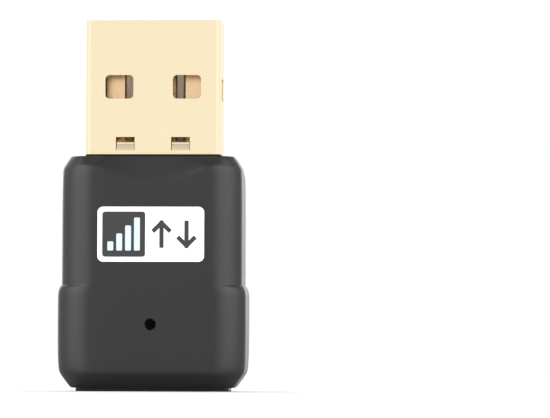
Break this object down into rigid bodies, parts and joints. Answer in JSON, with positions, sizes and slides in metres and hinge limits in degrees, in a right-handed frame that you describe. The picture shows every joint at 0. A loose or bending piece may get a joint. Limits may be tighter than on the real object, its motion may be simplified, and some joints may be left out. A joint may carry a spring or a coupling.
{
  "type": "usb wifi adapter",
  "caption": "Short USB stick radio adapter: two black moulded half shells with cut corners and a wider tail, round a circuit board, with a gold type A plug.",
  "frame": {"origin": "middle of the raised pad on the tail end, the lowest face when the adapter stands on its tail with the plug up", "axes": "+Z along the plug, from the tail to the plug's tip; -Y out of the face with the label and the light hole; +X to the right when the label is looked at with the plug up"},
  "size_m": [0.0166, 0.0078, 0.0328],
  "materials": {
    "casing": "black moulded ABS, satin with a very fine grain",
    "label": "white printed film, satin",
    "plug_metal": "pale gold plating on folded steel, lightly brushed",
    "plug_base": "black moulded nylon",
    "tongue": "light grey moulded polyester",
    "contacts": "gold plating, smooth",
    "board": "green solder mask over glass fibre board",
    "aerial": "copper track under solder mask",
    "chip": "black moulded epoxy",
    "tin": "bright tin",
    "ferrite": "dark grey ferrite",
    "ceramic": "tan ceramic",
    "lens": "clear epoxy over a white base"
  },
  "bodies": {
    "root": {"front_shell": "casing", "back_shell": "casing", "label": "label", "plug_shell": "plug_metal", "plug_base": "plug_base", "plug_tongue": "tongue", "contact_power": "contacts", "contact_data_minus": "contacts", "contact_data_plus": "contacts", "contact_ground": "contacts", "circuit_board": "board", "printed_aerial": "aerial", "radio_chip": "chip", "crystal": "tin", "power_inductor": "ferrite", "voltage_regulator": "chip", "surge_protector": "chip", "band_filter": "ceramic", "ferrite_bead": "ferrite", "status_light": "lens", "capacitor_1": "ceramic", "capacitor_2": "ceramic", "capacitor_3": "ceramic", "capacitor_4": "ceramic", "capacitor_5": "ceramic", "capacitor_6": "ceramic", "capacitor_7": "ceramic", "capacitor_8": "ceramic", "resistor_1": "chip", "resistor_2": "chip", "resistor_3": "chip", "resistor_4": "chip", "resistor_5": "chip", "resistor_6": "chip", "solder_power": "tin", "solder_data_minus": "tin", "solder_data_plus": "tin", "solder_ground": "tin", "solder_leg_left": "tin", "solder_leg_right": "tin"}
  },
  "joints": []
}
